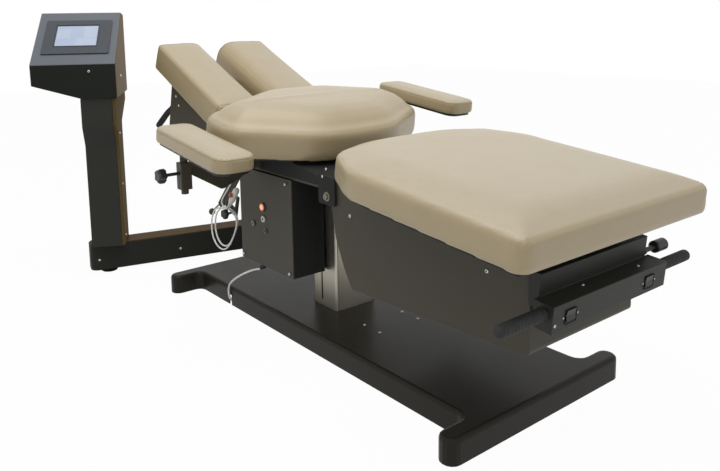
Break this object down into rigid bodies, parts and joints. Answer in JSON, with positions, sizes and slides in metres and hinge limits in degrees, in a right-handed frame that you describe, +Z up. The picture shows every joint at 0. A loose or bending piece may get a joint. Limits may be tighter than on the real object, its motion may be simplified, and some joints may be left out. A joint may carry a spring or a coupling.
{
  "type": "traction table",
  "caption": "Cushioned treatment table on a lift column, with a sliding leg section, a raised head section, armrests and a swing-out console.",
  "frame": {"origin": "on the floor under the middle of the table's own outline, without its mains lead", "axes": "+X to the foot end, +Y to the far side, away from the control box, +Z up"},
  "size_m": [2.2488, 1.1682, 0.9948],
  "materials": {
    "black_sheet": "satin black powder coat",
    "black_base": "semi-gloss black",
    "bare_steel": "bright steel",
    "aluminium": "satin extrusion",
    "tan_vinyl": "soft vinyl over foam",
    "birch_ply": "plain plywood",
    "black_plastic": "matte",
    "black_rubber": "matte",
    "grey_head": "fine texture",
    "bronze_panel": "satin bronze",
    "dark_bezel": "satin",
    "screen_glass": "lit screen",
    "orange_plastic": "gloss",
    "white_plastic": "gloss",
    "red_plastic": "gloss",
    "white_cord": "matte"
  },
  "bodies": {
    "base": {"base_cover": "black_base", "base_frame": "black_sheet", "glide_near_head": "black_rubber", "glide_near_foot": "black_rubber", "glide_far_head": "black_rubber", "glide_far_foot": "black_rubber", "column_outer": "aluminium", "arm_pivot_plate": "black_sheet", "arm_pivot_pin": "black_sheet", "mains_cord": "white_cord", "mains_coil": "white_cord", "mains_plug": "white_plastic"},
    "arm": {"arm_beam": "black_sheet", "arm_level_foot": "black_rubber"},
    "console": {"pedestal_cover": "black_sheet", "pedestal_side_panel": "bronze_panel", "head_shell": "grey_head", "screen_bezel": "dark_bezel", "touch_screen": "screen_glass"},
    "lift": {"column_inner": "aluminium", "lift_head_plate": "black_sheet", "centre_frame": "black_sheet", "leg_hinge_pin": "bare_steel", "head_hinge_pin": "bare_steel", "control_box_shell": "black_sheet", "control_box_face": "black_sheet", "signal_socket": "white_plastic", "mains_gland": "black_rubber", "pendant_hook": "black_sheet", "pendant_body": "white_plastic", "pendant_cord": "white_cord", "thoracic_board": "birch_ply", "thoracic_cushion": "tan_vinyl", "armrest_bracket_near": "black_sheet", "armrest_bracket_far": "black_sheet"},
    "power_plunger": {"power_button": "orange_plastic"},
    "switch_plunger": {"pendant_button": "red_plastic"},
    "hook_screw": {"hook_knob": "black_plastic"},
    "head": {"head_frame": "black_sheet", "head_pad_near": "tan_vinyl", "head_pad_far": "tan_vinyl"},
    "head_release": {"head_lever": "black_plastic"},
    "leg": {"leg_frame": "black_sheet", "leg_housing": "black_sheet", "handle_box": "black_sheet", "grip_near": "black_rubber", "grip_far": "black_rubber"},
    "carriage": {"leg_board": "birch_ply", "leg_cushion": "tan_vinyl"},
    "near_rocker": {"rocker_near": "black_plastic"},
    "far_rocker": {"rocker_far": "black_plastic"},
    "lock_screw": {"lock_knob": "black_plastic"},
    "near_post": {"armrest_post_near": "black_sheet"},
    "far_post": {"armrest_post_far": "black_sheet"},
    "near_rest": {"armrest_board_near": "black_plastic", "armrest_pad_near": "tan_vinyl"},
    "far_rest": {"armrest_board_far": "black_plastic", "armrest_pad_far": "tan_vinyl"},
    "near_clamp": {"clamp_knob_near": "black_plastic"},
    "far_clamp": {"clamp_knob_far": "black_plastic"}
  },
  "joints": [
    {"name": "arm_swing", "type": "hinge", "parent": "base", "child": "arm", "pos_m": [-0.72597, 0.23084, 0.066], "axis": [0, 0, 1], "range_deg": [-45, 25]},
    {"name": "console_turn", "type": "hinge", "parent": "arm", "child": "console", "pos_m": [-0.84217, -0.34186, 0.2], "axis": [0, 0, 1], "range_deg": [-45, 45]},
    {"name": "lift_height", "type": "slide", "parent": "base", "child": "lift", "axis": [0, 0, 1], "range_m": [0, 0.15]},
    {"name": "power_press", "type": "slide", "parent": "lift", "child": "power_plunger", "axis": [0, 1, 0], "range_m": [0, 0.003], "stiffness_N_per_m": 400},
    {"name": "switch_press", "type": "slide", "parent": "lift", "child": "switch_plunger", "axis": [0, 1, 0], "range_m": [0, 0.0015], "stiffness_N_per_m": 400},
    {"name": "hook_knob_turn", "type": "hinge", "parent": "lift", "child": "hook_screw", "pos_m": [-0.25297, -0.13, 0.312], "axis": [0, 1, 0], "continuous": true},
    {"name": "head_tilt", "type": "hinge", "parent": "lift", "child": "head", "pos_m": [-0.21197, 0.05884, 0.548], "axis": [0, 1, 0], "range_deg": [-23.5, 3]},
    {"name": "head_lever_turn", "type": "hinge", "parent": "head", "child": "head_release", "pos_m": [-0.62685, -0.13116, 0.66346], "axis": [-0.9708, 0, 0.2398], "range_deg": [-25, 25], "stiffness_Nm_per_rad": 3},
    {"name": "leg_tilt", "type": "hinge", "parent": "lift", "child": "leg", "pos_m": [0.31803, 0.05884, 0.475], "axis": [0, 1, 0], "range_deg": [-5.8, 11.5]},
    {"name": "leg_slide", "type": "slide", "parent": "leg", "child": "carriage", "axis": [0.9948, 0, -0.1014], "range_m": [0, 0.1]},
    {"name": "rocker_near_tilt", "type": "hinge", "parent": "leg", "child": "near_rocker", "pos_m": [1.07752, -0.09616, 0.3624], "axis": [0, 1, 0], "range_deg": [-6, 6], "stiffness_Nm_per_rad": 0.5},
    {"name": "rocker_far_tilt", "type": "hinge", "parent": "leg", "child": "far_rocker", "pos_m": [1.07752, 0.20084, 0.3624], "axis": [0, 1, 0], "range_deg": [-6, 6], "stiffness_Nm_per_rad": 0.5},
    {"name": "lock_knob_turn", "type": "hinge", "parent": "leg", "child": "lock_screw", "pos_m": [1.03164, 0.28, 0.40528], "axis": [0, 1, 0], "continuous": true},
    {"name": "rest_height_near", "type": "slide", "parent": "lift", "child": "near_post", "axis": [0, 0, 1], "range_m": [-0.045, 0.045]},
    {"name": "rest_height_far", "type": "slide", "parent": "lift", "child": "far_post", "axis": [0, 0, 1], "range_m": [-0.105, 0.005]},
    {"name": "rest_swing_near", "type": "hinge", "parent": "near_post", "child": "near_rest", "pos_m": [-0.06697, -0.38116, 0.6], "axis": [0, 0, 1], "range_deg": [-100, 0]},
    {"name": "rest_swing_far", "type": "hinge", "parent": "far_post", "child": "far_rest", "pos_m": [-0.13697, 0.49884, 0.66], "axis": [0, 0, 1], "range_deg": [0, 100]},
    {"name": "clamp_turn_near", "type": "hinge", "parent": "lift", "child": "near_clamp", "pos_m": [-0.06697, -0.42, 0.517], "axis": [0, 1, 0], "continuous": true},
    {"name": "clamp_turn_far", "type": "hinge", "parent": "lift", "child": "far_clamp", "pos_m": [-0.13697, 0.54, 0.517], "axis": [0, 1, 0], "continuous": true}
  ]
}
